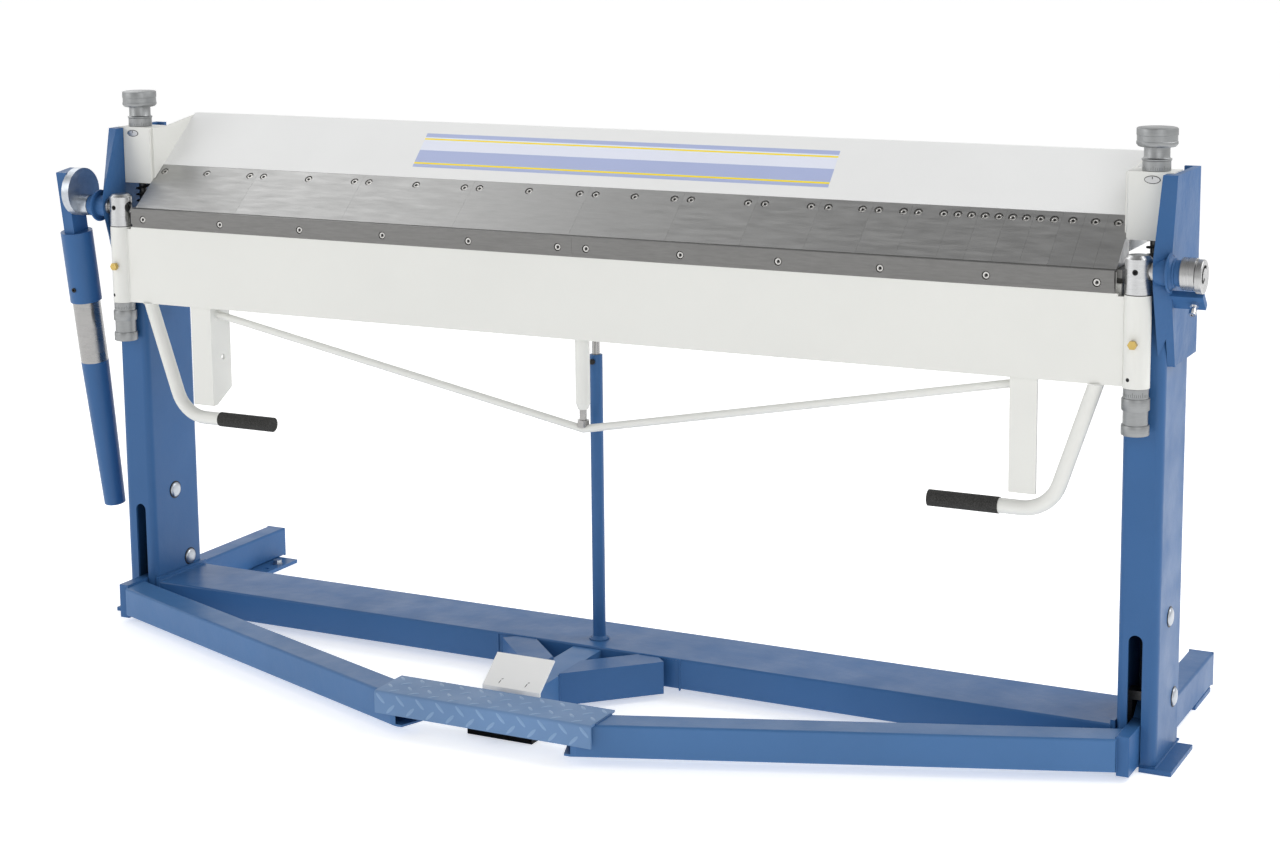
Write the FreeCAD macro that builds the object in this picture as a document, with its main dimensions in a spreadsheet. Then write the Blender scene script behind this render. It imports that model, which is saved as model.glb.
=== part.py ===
"""Sheet metal brake: a two metre, hand-swung folding machine with a segmented upper
tool and a foot pedal that closes it.

Working frame: x = 0 at the machine's mid plane, +X to the operator's right, -Y towards
the operator, z = 0 on the floor.  Every sub-part's Placement then adds shift_x and
shift_y, so that the origin ends up under the centre of the whole machine.
"""

import FreeCAD, Part
import math
import os
import re

import Sketcher
from FreeCAD import Placement, Rotation, Vector

SIZES = [
    # where the origin sits relative to the working frame
    ("shift_x", 25.0), ("shift_y", -48.0),
    # folding axis, which runs along X through the nose of the fingers
    ("axis_y", -16.0), ("axis_z", 880.0),
    # columns, heads and stand
    ("col_in", 1038.0), ("col_w", 72.0), ("col_y", 10.0), ("col_d", 162.0),
    ("col_top", 828.0), ("col_wall", 5.0), ("col_round", 14.0),
    ("slot_x", 1071.0), ("slot_w", 25.0), ("slot_top", 241.0),
    ("head_top", 1038.0), ("head_bottom", 713.0), ("head_in", 1097.0), ("head_out", 1121.0),
    ("head_rear", 178.0), ("hub_r", 22.0), ("hub_out", 1141.0),
    ("cap_top", 834.0), ("collar_r", 27.5), ("disc_r", 49.5), ("right_end", 1178.0),
    ("stop_x", 1158.0), ("stop_y", 6.0), ("stop_z", 827.0), ("stop_r", 4.0), ("shelf_t", 12.0),
    ("plate_t", 8.0), ("leg_w", 47.0), ("leg_rise", 64.0), ("leg_end", 494.0),
    ("leg_in", 1048.0), ("beam_y", 10.0), ("beam_d", 156.0), ("beam_rise", 59.0),
    ("beam_top", 76.0), ("bar_w", 60.0), ("bar_z", 12.0), ("bar_rise", 63.0), ("bar_top", 71.0),
    ("bar_end", -330.0), ("prop_y", 61.0), ("prop_r", 12.5), ("prop_rod_r", 7.5),
    ("prop_top", 640.0),
    # lower (fixed) beam and its blade
    ("low_half", 1038.0), ("low_bottom", 694.0), ("low_top", 855.0),
    ("blade_top", 879.5), ("low_blade_half", 1040.0),
    # upper beam, end guides and fingers
    ("work_len", 2060.0), ("up_half", 1026.0), ("up_wall", 12.0),
    ("guide_in", 1030.3), ("guide_out", 1109.5), ("guide_y", 39.0), ("guide_d", 59.0),
    ("guide_bottom", 923.5), ("guide_top", 1040.0),
    ("rod_x", 1073.0), ("rod_y", 65.0), ("rod_r", 8.0), ("knob_r", 35.0),
    ("fork_pin_z", 46.0), ("run_gap", 0.05), ("screw_r", 4.0), ("screw_head_r", 6.3),
    # swinging beam
    ("block_x", 1068.0), ("block_r", 23.0), ("block_bottom", 841.0), ("shaft_r", 12.0), ("spindle_r", 15.0),
    ("fold_half", 1031.0), ("fold_plate_half", 1036.0), ("fold_front", -26.0),
    ("fold_back", -16.5), ("fold_bottom", 683.0), ("blade_front", -31.0),
    ("blade_rise", 39.0), ("blade_bottom", 848.0), ("blade_screw_z", 858.0), ("blade_screw_r", 4.0),
    ("lip_front", -22.0), ("clamp_z", 758.5), ("flange_back", 30.0), ("truss_y", 6.0), ("truss_z", 505.0),
    ("truss_r", 7.5), ("bracket_in", 848.0), ("bracket_w", 49.0),
    ("handle_r", 13.5), ("handle_z", 452.0), ("handle_top_x", 1000.0),
    ("handle_bend", 70.0), ("grip_r", 14.8), ("grip_in", 702.0), ("grip_len", 130.0),
    # counterweight
    ("arm_x", 1182.0), ("arm_t", 26.0), ("arm_d", 45.0), ("arm_up", 72.0), ("arm_lean", 8.0),
    ("sleeve_r", 33.0), ("sleeve_from", 59.0),
    ("weight_r", 29.0), ("weight_tip_r", 22.5),
    # pedal
    ("pin_y", 128.0), ("pin_z", 101.0), ("pin_r", 10.0), ("guide_pin_y", 86.0),
    ("guide_pin_z", 258.5), ("lever_t", 22.0), ("lever_bottom", 10.0),
    ("arm_sq", 60.0), ("arm_z", 17.0), ("arm_wall", 4.0),
    ("tread_half", 223.0), ("tread_front", -398.0), ("tread_back", -304.0),
    ("tread_top", 81.0), ("tread_t", 4.0), ("tread_lip", 43.0), ("release_half", 60.0),
    ("release_y", -256.0), ("release_z", 90.0), ("release_pin_r", 4.0),
]
S = dict(SIZES)
FINGER_WIDTHS = (250, 255, 255, 255, 200, 150, 125, 100, 75, 75, 50, 50, 50, 50, 40, 40, 40)
LONG_EDGE = 0.9

doc = FreeCAD.newDocument("sheet_metal_brake")
sheet = doc.addObject("Spreadsheet::Sheet", "sizes")
for row, (alias, number) in enumerate(SIZES, start=1):
    sheet.set("A%d" % row, alias)
    sheet.set("B%d" % row, str(number))
    sheet.setAlias("B%d" % row, alias)
doc.recompute()

NAMES = re.compile(r"\b(" + "|".join(S) + r")\b")
PLACES = {}
PARTS = []


# ---------------------------------------------------------------- helpers
def bind(obj, prop, value):
    """Drives a property from the sheet; value is a number or an expression of aliases."""
    obj.setExpression(prop, NAMES.sub(r"sizes.\1", str(value)))


def place(obj, at, turn=None):
    """Puts an object at (x, y, z), each a number or an expression, with a fixed rotation."""
    if turn is not None:
        obj.Placement = Placement(Vector(0, 0, 0), turn)
    PLACES[obj.Name] = tuple(at)
    for key, value in zip("xyz", at):
        bind(obj, "Placement.Base." + key, value)
    return obj


def box(size, at, turn=None):
    obj = doc.addObject("Part::Box", "box")
    for prop, value in zip(("Length", "Width", "Height"), size):
        bind(obj, prop, value)
    return place(obj, at, turn)


ALONG_X = Rotation(Vector(0, 1, 0), 90)
ALONG_MINUS_Y = Rotation(Vector(1, 0, 0), 90)


def cylinder(radius, length, at, turn=None):
    """A cylinder from 'at' along +Z, or along the direction that 'turn' gives +Z."""
    obj = doc.addObject("Part::Cylinder", "cylinder")
    bind(obj, "Radius", radius)
    bind(obj, "Height", length)
    return place(obj, at, turn)


def cone(radius_1, radius_2, length, at, turn=None):
    obj = doc.addObject("Part::Cone", "cone")
    bind(obj, "Radius1", radius_1)
    bind(obj, "Radius2", radius_2)
    bind(obj, "Height", length)
    return place(obj, at, turn)


def hexagon(across_flats, length, at, turn=None):
    obj = doc.addObject("Part::Prism", "hexagon")
    obj.Polygon = 6
    bind(obj, "Circumradius", "%s / %.6f" % (across_flats, math.sqrt(3)))
    bind(obj, "Height", length)
    return place(obj, at, turn)


def fuse(*pieces):
    obj = doc.addObject("Part::MultiFuse", "joined")
    obj.Shapes = list(pieces)
    return obj


def cut(base, *tools):
    obj = doc.addObject("Part::Cut", "cut")
    obj.Base = base
    obj.Tool = tools[0] if len(tools) == 1 else fuse(*tools)
    return obj


def mirror(source):
    """The same piece on the other side of the mid plane."""
    obj = doc.addObject("Part::Mirroring", "mirrored")
    obj.Source = source
    obj.Normal = Vector(1, 0, 0)
    return obj


def group(*pieces):
    obj = doc.addObject("Part::Compound", "group")
    obj.Links = list(pieces)
    return obj


def part(name, obj):
    """Registers a sub-part: its Label is the node's name, its Placement adds the shift."""
    x, y, z = PLACES.get(obj.Name, ("0", "0", "0"))
    bind(obj, "Placement.Base.x", "%s + shift_x" % x)
    bind(obj, "Placement.Base.y", "%s + shift_y" % y)
    bind(obj, "Placement.Base.z", z)
    obj.Label = name
    PARTS.append(obj)
    return obj


def origin_plane(body, role):
    for feature in body.Origin.OriginFeatures:
        if feature.Role == role:
            return feature
    raise RuntimeError("no plane " + role)


def outline(body, points, height=0, role="XY_Plane"):
    """A closed polygon sketch whose corners are held by dimensions from the sheet."""
    sketch = body.newObject("Sketcher::SketchObject", "outline")
    sketch.AttachmentSupport = [(origin_plane(body, role), "")]
    sketch.MapMode = "FlatFace"
    bind(sketch, "AttachmentOffset.Base.z", height)
    count = len(points)
    rough = [Vector(number(x), number(y), 0) for x, y in points]
    for i in range(count):
        sketch.addGeometry(Part.LineSegment(rough[i], rough[(i + 1) % count]), False)
    for i in range(count):
        sketch.addConstraint(Sketcher.Constraint("Coincident", i, 2, (i + 1) % count, 1))
        for kind, text, spot in zip(("DistanceX", "DistanceY"), points[i], rough[i]):
            index = sketch.addConstraint(Sketcher.Constraint(kind, -1, 1, i, 1, spot))
            if NAMES.search(str(text)):
                bind(sketch, "Constraints[%d]" % index, text)
    return sketch


def number(text):
    """A first value for a sketch corner; the bound dimension then holds it."""
    total = 0.0
    for sign, term in re.findall(r"([+-]?)\s*([\w.]+)", str(text)):
        value = S[term] if term in S else float(term)
        total += -value if sign == "-" else value
    return total


# local x, y, z of a sketched profile become y, z, x of the machine
PROFILE_TURN = Rotation(Vector(1, 1, 1), 120)
UPRIGHT = Rotation()


def profile(points, length, at, turn=PROFILE_TURN, hollow=None):
    """A PartDesign body: an outline padded to 'length', with an optional hollow through it."""
    body = doc.addObject("PartDesign::Body", "body")
    pad = body.newObject("PartDesign::Pad", "pad")
    pad.Profile = outline(body, points)
    bind(pad, "Length", length)
    if hollow:
        inner = outline(body, hollow)
        doc.recompute()
        solid_volume = pad.Shape.Volume
        pocket = body.newObject("PartDesign::Pocket", "pocket")
        pocket.Profile = inner
        pocket.Type = "ThroughAll"
        pocket.Reversed = True
        doc.recompute()
        if pocket.Shape.Volume >= solid_volume:
            raise RuntimeError("the hollow was not cut")
    return place(body, at, turn)


def turned(points, at, turn=None):
    """A PartDesign body of revolution about its own Z from (radius, height) corners."""
    body = doc.addObject("PartDesign::Body", "turned")
    sketch = outline(body, points, role="XZ_Plane")
    revolution = body.newObject("PartDesign::Revolution", "revolution")
    revolution.Profile = sketch
    revolution.ReferenceAxis = (sketch, ["V_Axis"])
    revolution.Angle = 360
    return place(body, at, turn)


def square_tube(width, depth, length, wall, radius, at, turn=None):
    """A tube with rounded long edges, standing along its own Z from a corner at 'at'."""
    body = doc.addObject("PartDesign::Body", "tube")
    corners = [("0", "0"), (width, "0"), (width, depth), ("0", depth)]
    pad = body.newObject("PartDesign::Pad", "pad")
    pad.Profile = outline(body, corners)
    bind(pad, "Length", length)
    doc.recompute()
    long_edges = []
    for i, edge in enumerate(pad.Shape.Edges, start=1):
        if abs(edge.tangentAt(edge.FirstParameter).z) > LONG_EDGE:
            long_edges.append("Edge%d" % i)
    fillet = body.newObject("PartDesign::Fillet", "fillet")
    fillet.Base = (pad, long_edges)
    bind(fillet, "Radius", radius)
    low, wide, deep = wall, "%s - %s" % (width, wall), "%s - %s" % (depth, wall)
    inner = outline(body, [(low, low), (wide, low), (wide, deep), (low, deep)])
    doc.recompute()
    solid_volume = fillet.Shape.Volume
    pocket = body.newObject("PartDesign::Pocket", "pocket")
    pocket.Profile = inner
    pocket.Type = "ThroughAll"
    pocket.Reversed = True
    doc.recompute()
    if pocket.Shape.Volume >= solid_volume:
        raise RuntimeError("the tube was not hollowed")
    return place(body, at, turn)


def rod(start, end, radius):
    """A round bar between two points; its radius comes from the sheet."""
    line = Vector(*end) - Vector(*start)
    return cylinder(radius, line.Length, start, Rotation(Vector(0, 0, 1), line))


def both(obj):
    """A right-hand piece and its mirror image, kept as separate solids."""
    return group(obj, mirror(obj))


# ---------------------------------------------------------------- stand
def column():
    """Folded column with a slot for the pedal lever and holes for its two pins."""
    tube = square_tube("col_w", "col_d", "col_top - plate_t", "col_wall", "col_round",
                       ("col_in", "col_y", "plate_t"))
    deep = "col_wall + 30"
    straight = box(("slot_w", deep, "slot_top - slot_w / 2"), ("slot_x - slot_w / 2", "col_y - 10", "0"))
    rounded = cylinder("slot_w / 2", deep, ("slot_x", "col_y + col_wall + 20", "slot_top - slot_w / 2"),
                       ALONG_MINUS_Y)
    tools = [straight, rounded]
    for y, z in (("pin_y", "pin_z"), ("guide_pin_y", "guide_pin_z")):
        tools.append(cylinder("pin_r", "col_w + 20", ("col_in - 10", y, z), ALONG_X))
    return cut(tube, *tools)


def column_cap():
    """Plate that closes the column and carries the lift spring."""
    plate = box(("col_w", "col_d", 6), ("col_in", "col_y", "col_top"))
    seat = cylinder(12, 14, ("rod_x", "rod_y", "col_top + 5"))
    hole = cylinder("rod_r + 1", 40, ("rod_x", "rod_y", "col_top - 10"))
    return cut(fuse(plate, seat), hole)


def head_section(inner_y, ridge_y):
    """One level of the head: a C channel, open towards the beam, with a slanted nose."""
    return [("head_in", inner_y), ("head_out", ridge_y), ("head_out", "head_rear"),
            ("head_in - 3", "head_rear"), ("head_in - 3", "head_rear - 9"),
            ("col_in + col_w", "head_rear - 9"), ("col_in + col_w", "guide_y - 1"),
            ("head_in", "guide_y - 1")]


def head():
    """Head: lofted channel that guides the upper beam, with a flared hub for the shaft."""
    body = doc.addObject("PartDesign::Body", "head")
    levels = (("head_bottom", head_section("16", "32")),
              ("axis_z - 22", head_section("-35", "-7")),
              ("axis_z + 22", head_section("-37", "-7")),
              ("head_top", head_section("15", "21.5")))
    sketches = [outline(body, points, height) for height, points in levels]
    loft = body.newObject("PartDesign::AdditiveLoft", "loft")
    loft.Profile = sketches[0]
    loft.Sections = sketches[1:]
    loft.Ruled = True
    place(body, (0, 0, 0))
    hub = cylinder("hub_r", "hub_out - head_in", ("head_in", "axis_y", "axis_z"), ALONG_X)
    flare = cone("hub_r + 9", "hub_r", 9, ("head_out", "axis_y", "axis_z"), ALONG_X)
    column_room = box(("col_w + 8", 200, "cap_top + 0.4 - 700"), ("col_in - 8", "col_y - 0.4", 700))
    bore = cylinder("shaft_r + run_gap", 80, ("head_in - 10", "axis_y", "axis_z"), ALONG_X)
    return cut(fuse(cut(body, column_room), hub, flare), bore)


STOP_TILT = Rotation(Vector(1, 0, 0), -45)


def along_stop(distance):
    """A point on the stop screw's axis, from where it enters the shelf."""
    step = STOP_TILT.multVec(Vector(0, 0, distance))
    return ("stop_x", "stop_y + %.4f" % step.y, "stop_z + %.4f" % step.z)


def head_with_shelf(plain_head):
    """The right head also carries the shelf of the angle stop."""
    across = STOP_TILT.multVec(Vector(0, -17, 0))
    corner = (1112, "stop_y + %.4f" % across.y, "stop_z + %.4f" % across.z)
    shelf = box((62, 34, "shelf_t"), corner, STOP_TILT)
    hole = cylinder("stop_r", 60, along_stop(-20), STOP_TILT)
    return cut(fuse(plain_head, shelf), hole)


def stop_screw():
    """Adjusting screw with its lock nut under the shelf."""
    shank = cylinder("stop_r - run_gap", 40, along_stop(-14), STOP_TILT)
    cap = cylinder(6.5, 10, along_stop(-24), STOP_TILT)
    socket = hexagon(6, 5, along_stop(-24), STOP_TILT)
    bore = cylinder("stop_r", 20, along_stop(-10), STOP_TILT)
    nut = cut(hexagon(13, 6.5, along_stop(-6.5), STOP_TILT), bore)
    return cut(fuse(shank, cap), socket), nut


def foot_plates():
    """Front plates under the columns, rear plates under the legs with anchor holes."""
    front = box(("col_w + 30", 152, "plate_t"), ("col_in", 2, 0))
    slot = box(("slot_w", 40, 30), ("slot_x - slot_w / 2", -10, -10))
    rear = box(("leg_in + leg_w - 1002", 116, "plate_t"), (1002, 357, 0))
    holes = [cylinder(6.5, 40, (1022, 380, -10)), cylinder(6.2, 40, (1022, 425, -10))]
    return both(cut(front, slot)), both(cut(rear, *holes))


def rear_leg():
    tube = square_tube("leg_w", "leg_rise", "leg_end - col_y - col_d - 4", 4, 5,
                       ("leg_in", "leg_end - 4", "plate_t"), ALONG_MINUS_Y)
    cap = box(("leg_w", 4, "leg_rise"), ("leg_in", "leg_end - 4", "plate_t"))
    return fuse(tube, cap)


def levelling_bolt():
    at = (1022, 425)
    head_part = hexagon(18, 8, at + ("plate_t + 1.5",))
    washer = cylinder(11, 1.5, at + ("plate_t",))
    return fuse(head_part, washer, cylinder(6, "plate_t", at + (0,)))


def stretcher():
    tube = square_tube("beam_d", "beam_rise", "2 * col_in - 16", 5, 4,
                       ("8 - col_in", "beam_y", "beam_top - beam_rise"), PROFILE_TURN)
    plate = box((8, "col_d", 76), ("col_in - 8", "col_y", "plate_t"))
    return fuse(tube, plate, mirror(plate))


def brace():
    """Diagonal strut from the stretcher to the front bar, cut to lie against both."""
    bar = box((260, "bar_w", "bar_rise"), (133, 30, "bar_z"), Rotation(Vector(0, 0, 1), 225))
    keep = box(("300 - bar_w / 2", 300, 100), ("bar_w / 2", "beam_y - 300", 0))
    obj = doc.addObject("Part::Common", "brace")
    obj.Base = bar
    obj.Tool = keep
    return obj


def front_bar():
    bar = box(("bar_w", "beam_y - bar_end", "bar_rise - 4"), ("-bar_w / 2", "bar_end", "bar_z"))
    foot = box((134, 60, "bar_z"), (-67, "bar_end", 0))
    return fuse(bar, foot)


def prop():
    """Adjustable prop between the stretcher and the lower beam: tube, rod and clamp bolt."""
    collar = cone(18, "prop_r + 1", 7, (0, "prop_y", "beam_top"))
    tube = cylinder("prop_r", "prop_top - beam_top", (0, "prop_y", "beam_top"))
    bore = cylinder("prop_rod_r + run_gap", 300, (0, "prop_y", "prop_top - 200"))
    bolt_z = "prop_top - 12"
    thread = cylinder(3, 30, (0, "prop_y - 6", bolt_z), ALONG_MINUS_Y)
    part("prop_tube", cut(fuse(collar, tube), bore, thread))
    part("prop_rod", cylinder("prop_rod_r", "low_bottom - prop_top + 150",
                              (0, "prop_y", "prop_top - 150")))
    bolt = fuse(hexagon(10, 5, (0, "prop_y - prop_r - 1", bolt_z), ALONG_MINUS_Y),
                cylinder(2.9, 8, (0, "prop_y - prop_rod_r - 0.6", bolt_z), ALONG_MINUS_Y))
    part("prop_clamp_bolt", bolt)


def build_stand():
    part("columns", both(column()))
    part("column_caps", both(column_cap()))
    part("head_right", group(head_with_shelf(head())))
    part("head_left", group(mirror(head())))
    part("stop_screw_and_nut", group(*stop_screw()))
    front_plates, rear_plates = foot_plates()
    part("foot_plates", group(front_plates, rear_plates))
    part("rear_legs", both(rear_leg()))
    part("levelling_bolts", both(levelling_bolt()))
    part("floor_stretcher", group(stretcher(), both(brace())))
    part("front_bar", front_bar())
    prop()
    part("column_pins", group(*[both(pin) for pin in column_pins()]))
    part("rod_guides", both(rod_guide()))
    part("lower_beam", lower_beam())
    part("lower_blade", lower_blade())
    part("lift_springs", both(lift_spring()))
    part("release_bracket", release_bracket())


def column_pins():
    """Pivot pin of the pedal lever and the pin that holds the rod guide."""
    pieces = []
    for y, z in (("pin_y", "pin_z"), ("guide_pin_y", "guide_pin_z")):
        shank = cylinder("pin_r - run_gap", "col_w", ("col_in", y, z), ALONG_X)
        heads = [cylinder(16, 6, (x, y, z), ALONG_X) for x in ("col_in - 6", "col_in + col_w")]
        pieces.append(fuse(shank, *heads))
    return pieces


def rod_guide():
    """Block on the upper pin whose bore steadies the pull rod."""
    block = box((44, 56, 34), ("rod_x - 22", "guide_pin_y - 38", "guide_pin_z - 17"))
    bore = cylinder("rod_r + run_gap", 60, ("rod_x", "rod_y", "guide_pin_z - 30"))
    pin_hole = cylinder("pin_r", 60, ("rod_x - 30", "guide_pin_y", "guide_pin_z"), ALONG_X)
    return cut(block, bore, pin_hole)


# ---------------------------------------------------------------- beams and blades
def lower_beam():
    outer = [("-11", "low_top"), ("-11", "835"), ("22", "760"), ("22", "low_bottom"),
             ("130", "low_bottom"), ("130", "low_top")]
    inner = [("3", "low_top - 12"), ("3", "838"), ("34", "765"), ("34", "low_bottom + 10"),
             ("118", "low_bottom + 10"), ("118", "low_top - 12")]
    return profile(outer, "2 * low_half", ("-low_half", 0, 0), hollow=inner)


def lower_blade():
    points = [("-15.5", "blade_top"), ("-15.5", "blade_top - 14"), ("-5", "low_top"),
              ("62", "low_top"), ("62", "blade_top")]
    return profile(points, "2 * low_blade_half", ("-low_blade_half", 0, 0))


def upper_beam():
    """Welded triangular box whose front face carries on the slope of the fingers."""
    outer = [("77.5", "960"), ("189", "1059"), ("205", "1059"), ("205", "900"),
             ("62.5", "900"), ("62.5", "916"), ("92.4", "942")]
    inner = [("104", "967"), ("185", "1039"), ("193", "1039"), ("193", "912"),
             ("82", "912"), ("82", "918"), ("106", "938")]
    box_beam = profile(outer, "2 * up_half", ("-up_half", 0, 0), hollow=inner)
    threads = [cylinder("screw_r + run_gap", 30, face_point(x, -29), FACE_NORMAL)
               for low, width in finger_row() for x in screw_places(low, width)]
    return cut(box_beam, *threads)


def end_guide():
    """Block that slides in the head's channel, with the plate that closes the beam's end."""
    plate_points = [("46", "934"), ("46", "guide_top - 2"), ("96", "guide_top"), ("189", "1055"),
                    ("205", "1055"), ("205", "900"), ("62.5", "900"), ("62.5", "916"), ("92.4", "942"),
                    ("77.5", "960.8")]
    end_plate = profile(plate_points, "guide_in - up_half", ("up_half", 0, 0))
    points = [("guide_in", "guide_y"), ("guide_out", "guide_y"),
              ("guide_out", "guide_y + guide_d"), ("guide_in", "guide_y + guide_d")]
    block = profile(points, "guide_top - guide_bottom", (0, 0, "guide_bottom"), UPRIGHT)
    bore = cylinder("rod_r + run_gap", 200, ("rod_x", "rod_y", "guide_bottom - 20"))
    return cut(fuse(block, end_plate), bore)


# ---------------------------------------------------------------- fingers
# The finger's sloping face in the YZ plane, and the line of screws across it
NOSE = Vector(0, -15.5, S["axis_z"])
FACE_TOP = Vector(0, 77, 959.5)
FACE_ANGLE = math.degrees(math.atan2(FACE_TOP.z - NOSE.z, FACE_TOP.y - NOSE.y))
FACE_NORMAL = Rotation(Vector(1, 0, 0), FACE_ANGLE)
SCREW_BELOW_TOP = 18
BORE_DEPTH = 7


def face_point(x, out):
    """A point on a finger screw's axis, 'out' millimetres off the sloping face."""
    along = (FACE_TOP - NOSE).normalize() * SCREW_BELOW_TOP
    spot = FACE_TOP - along + FACE_NORMAL.multVec(Vector(0, 0, out))
    return (x, spot.y, spot.z)


def finger_row():
    """Left end and width of every finger, from left to right."""
    row = []
    low = -S["work_len"] / 2
    for width in FINGER_WIDTHS:
        row.append((low, width))
        low += width
    return row


def screw_places(low, width):
    """Three screws in a wide finger, one in a narrow one and two in the rest."""
    if width < 45:
        return (low + width / 2,)
    if width < 60:
        edge = width / 4
    elif width < 90:
        edge = 14
    else:
        edge = 17
    if width > 180:
        return (low + edge, low + width / 2, low + width - edge)
    return (low + edge, low + width - edge)


def finger(low, width):
    """One clamping finger: a wedge of tool steel with counterbored screw holes."""
    points = [("-15.5", "axis_z"), ("77", "959.5"), ("92", "942"), ("62", "916"), ("62", "axis_z")]
    wedge = profile(points, width - 0.2, (low + 0.1, 0, 0))
    tools = []
    for x in screw_places(low, width):
        tools.append(cylinder("screw_head_r + 1.7", 30, face_point(x, -BORE_DEPTH), FACE_NORMAL))
        tools.append(cylinder("screw_r + 0.3", 60, face_point(x, -50), FACE_NORMAL))
    return cut(wedge, *tools)


def finger_screw(x):
    """Socket screw on a washer, seated in a finger's counterbore."""
    washer = cylinder("screw_head_r + 0.9", 1.4, face_point(x, -BORE_DEPTH), FACE_NORMAL)
    cap = cylinder("screw_head_r", 6, face_point(x, -BORE_DEPTH), FACE_NORMAL)
    shank = cylinder("screw_r", 21, face_point(x, -BORE_DEPTH - 20), FACE_NORMAL)
    socket = hexagon(5, 12, face_point(x, -4), FACE_NORMAL)
    return cut(fuse(washer, cap, shank), socket)


def build_upper():
    part("upper_beam", upper_beam())
    part("end_guides", both(end_guide()))
    by_width = {}
    screws = []
    for low, width in finger_row():
        by_width.setdefault(width, []).append(finger(low, width))
        screws += [finger_screw(x) for x in screw_places(low, width)]
    for width, pieces in by_width.items():
        part("fingers_%d_mm" % width, group(*pieces))
    part("finger_screws", group(*screws))
    part("pull_rods", both(pull_rod()))
    knob = top_knob()
    part("top_knob_right", group(knob))
    part("top_knob_left", group(mirror(knob)))


def pull_rod():
    """Rod from the knob down the column, with a welded fork round the pedal lever."""
    stem = cylinder("rod_r", "guide_top + 24 - 120", ("rod_x", "rod_y", 120))
    bridge = box((46, 28, 16), ("slot_x - 23", "rod_y - 14", 112))
    cheeks = [box((8, 28, 90), (x, "rod_y - 14", 26)) for x in ("slot_x - 23", "slot_x + 15")]
    pin = cylinder(6, 52, ("slot_x - 26", "rod_y", "fork_pin_z"), ALONG_X)
    return fuse(stem, bridge, pin, *cheeks)


def lift_spring():
    """Closed outer shape of the compression spring under an end guide."""
    sleeve = cylinder(15, "guide_bottom - cap_top", ("rod_x", "rod_y", "cap_top"))
    return cut(sleeve, cylinder(12.2, 200, ("rod_x", "rod_y", "col_top")))


def top_knob():
    """Scale collar, neck and grooved knob on the pull rod's threaded top."""
    points = [("rod_r + run_gap", "0"), ("24", "0"), ("24", "17"), ("25.5", "18.5"), ("25.5", "20.5"),
              ("22", "22"), ("22", "41"), ("knob_r - 1", "41"), ("knob_r", "42"), ("knob_r", "50"),
              ("knob_r - 1.5", "51"), ("knob_r - 1.5", "60"), ("knob_r", "61"), ("knob_r", "70"),
              ("knob_r - 3", "73"), ("0", "73"), ("0", "28"), ("rod_r + run_gap", "28")]
    return turned(points, ("rod_x", "rod_y", "guide_top + 0.3"))


# ---------------------------------------------------------------- pedal
LEVER_PROFILE = [("-57", "lever_bottom"), ("-57", "81"), ("48", "81"), ("104", "124"), ("146", "124"),
                 ("152", "116"), ("152", "86"), ("80", "20"), ("60", "lever_bottom")]
SLOT_FRONT = Vector(0, 64, 44)
SLOT_REAR = Vector(0, 86, 56)
SLOT_R = 10


def pedal_lever():
    """Cranked plate that turns on the column's pin and pulls the fork down."""
    low = "slot_x - lever_t / 2"
    plate = profile(LEVER_PROFILE, "lever_t", (low, 0, 0))
    bore = cylinder("pin_r + run_gap", 60, ("col_in", "pin_y", "pin_z"), ALONG_X)
    side = (SLOT_REAR - SLOT_FRONT).normalize().cross(Vector(1, 0, 0)) * SLOT_R
    corners = [SLOT_FRONT + side, SLOT_REAR + side, SLOT_REAR - side, SLOT_FRONT - side]
    slot = profile([(str(p.y), str(p.z)) for p in corners], 60, ("col_in", 0, 0))
    ends = [cylinder(SLOT_R, 60, ("col_in", p.y, p.z), ALONG_X) for p in (SLOT_FRONT, SLOT_REAR)]
    return cut(plate, bore, slot, *ends)


def pedal_arm():
    """Square tube from the lever to the tread, running inwards and forwards."""
    inner = Vector(171, -402, 0)
    outer = Vector(1060, -65, 0)
    run = outer - inner
    length = run.Length + 60
    run.normalize()
    turn = Rotation(Vector(0, 0, -1), Vector(-run.y, run.x, 0), run, "ZXY")
    tube = square_tube("arm_sq", "arm_sq", length, "arm_wall", 5, (inner.x, inner.y, "arm_z + arm_sq"), turn)
    beyond = box((200, 300, 100), ("slot_x - lever_t / 2", -150, 0))
    in_front = box((200, 60, 100), (100, "tread_front + tread_t - 60", 0))
    return cut(tube, beyond, in_front)


def tread():
    points = [("tread_front", "tread_top - tread_lip"), ("tread_front", "tread_top"),
              ("tread_back", "tread_top"), ("tread_back", "tread_top - tread_t"),
              ("tread_front + tread_t", "tread_top - tread_t"),
              ("tread_front + tread_t", "tread_top - tread_lip")]
    return profile(points, "2 * tread_half", ("-tread_half", 0, 0))


def release_plate():
    """Foot plate that frees the clamped pedal, with two ears on its hinge pin."""
    points = [("-286", "81"), ("-229", "126"), ("-226.5", "122.9"), ("-282", "79.1"), ("-282", "73"),
              ("-286", "73")]
    plate = profile(points, "2 * release_half", ("-release_half", 0, 0))
    ear_points = [("-272", "87"), ("-240", "112.2"), ("-246", "84"), ("-258", "81"), ("-268", "82")]
    ears = [profile(ear_points, 5, (x, 0, 0)) for x in (-15, 10)]
    bore = cylinder("release_pin_r + run_gap", 80, (-40, "release_y", "release_z"), ALONG_X)
    return cut(fuse(plate, *ears), bore)


def release_bracket():
    """Two cheeks on the front bar and the hinge pin between them."""
    points = [("-272", "bar_top"), ("-272", "84"), ("-262", "92.5"), ("-256", "96"), ("-246", "96"),
              ("-240", "90"), ("-240", "bar_top")]
    cheeks = [profile(points, 6, (x, 0, 0)) for x in (-23, 17)]
    pin = cylinder("release_pin_r", 52, (-26, "release_y", "release_z"), ALONG_X)
    return fuse(pin, *cheeks)


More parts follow.
